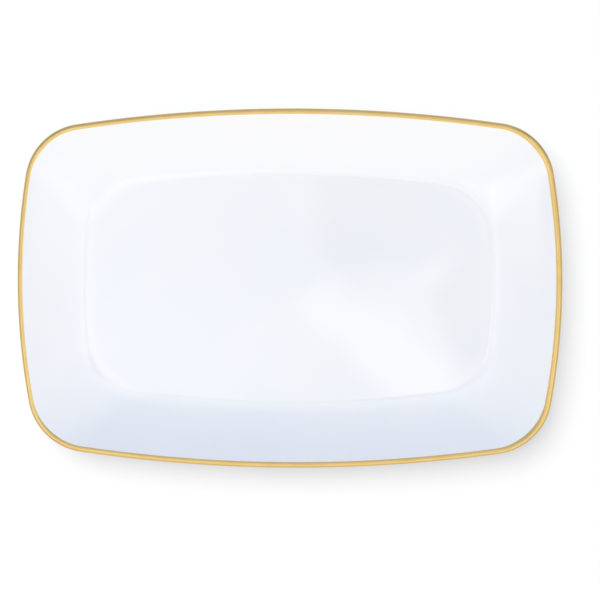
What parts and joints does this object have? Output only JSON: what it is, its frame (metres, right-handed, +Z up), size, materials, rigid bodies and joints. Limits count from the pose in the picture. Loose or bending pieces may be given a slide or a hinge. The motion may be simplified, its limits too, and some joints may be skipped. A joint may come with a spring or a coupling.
{
  "type": "serving platter",
  "caption": "Rectangular china serving platter with bowed sides, rounded corners, a flat well, a flared wall, a rounded gold lip and a low foot ring.",
  "frame": {"origin": "on the surface that the platter stands on, under the centre of its outline", "axes": "+X along the platter's length, +Y across its width, +Z up out of the well"},
  "size_m": [0.356, 0.235, 0.025],
  "materials": {
    "porcelain": "satin",
    "bare_porcelain": "matte",
    "glaze": "gloss",
    "gold": "polished"
  },
  "bodies": {
    "root": {"porcelain_body": "porcelain", "foot_ring": "bare_porcelain", "upper_glaze": "glaze", "underside_glaze": "glaze", "base_glaze": "glaze", "gold_lip_band": "gold"}
  },
  "joints": []
}
